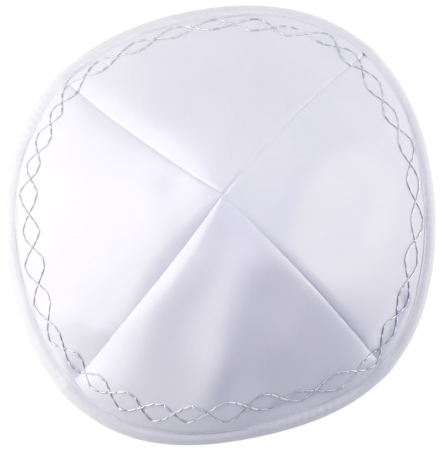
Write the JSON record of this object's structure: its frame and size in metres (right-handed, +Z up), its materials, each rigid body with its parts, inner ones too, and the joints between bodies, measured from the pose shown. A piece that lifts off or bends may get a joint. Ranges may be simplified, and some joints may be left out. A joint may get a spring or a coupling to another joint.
{
  "type": "kippah skullcap",
  "caption": "Shallow satin skullcap of sewn panels with a folded binding round its rim, open underneath for the head.",
  "frame": {"origin": "on the surface that the cap lies on, under the middle of its outline", "axes": "+Z up through the crown, -Y to the front of the cap, +X to the right seen from above"},
  "size_m": [0.1702, 0.1762, 0.0539],
  "materials": {
    "panel_satin": "smooth white satin with a soft sheen",
    "binding_satin": "white satin bias binding, slightly puckered"
  },
  "bodies": {
    "root": {"panel_back": "panel_satin", "panel_left": "panel_satin", "panel_front": "panel_satin", "panel_right": "panel_satin", "rim_binding": "binding_satin"}
  },
  "joints": []
}
